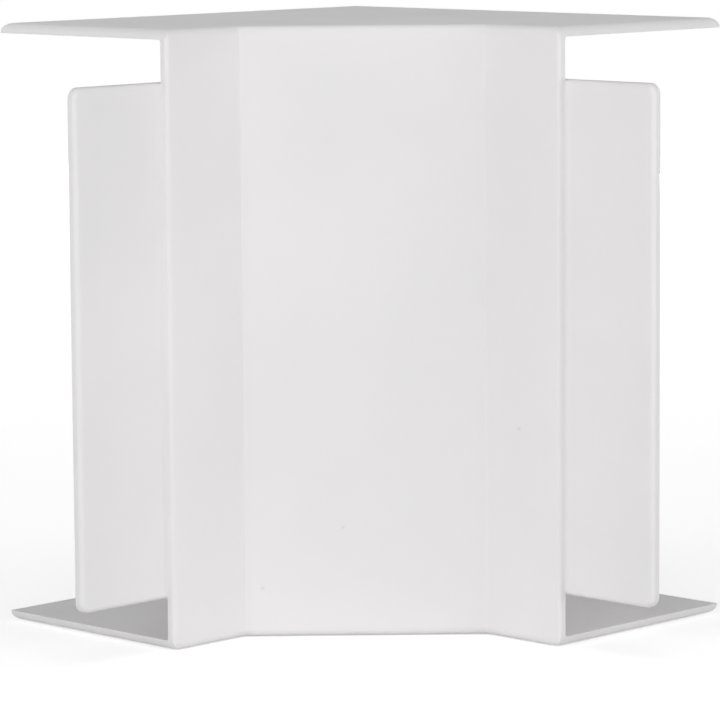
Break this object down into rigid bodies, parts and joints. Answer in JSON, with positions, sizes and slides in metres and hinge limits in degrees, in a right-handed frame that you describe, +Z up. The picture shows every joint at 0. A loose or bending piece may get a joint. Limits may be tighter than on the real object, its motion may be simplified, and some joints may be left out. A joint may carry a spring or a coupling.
{
  "type": "trunking internal corner",
  "caption": "White moulded cover for a room's inside corner, joining large wall trunking on both walls, with a slanted front panel and a tongue behind each lid.",
  "frame": {"origin": "the upright line where the two room walls meet, at the level of the cover's underside", "axes": "+X along one leg, with its wall on Y = 0; -Y along the other leg, with its wall on X = 0; +Z up the room's corner"},
  "size_m": [0.1805, 0.1805, 0.1768],
  "materials": {
    "white_plastic": "smooth satin moulded plastic"
  },
  "bodies": {
    "root": {"corner_cover": "white_plastic"}
  },
  "joints": []
}
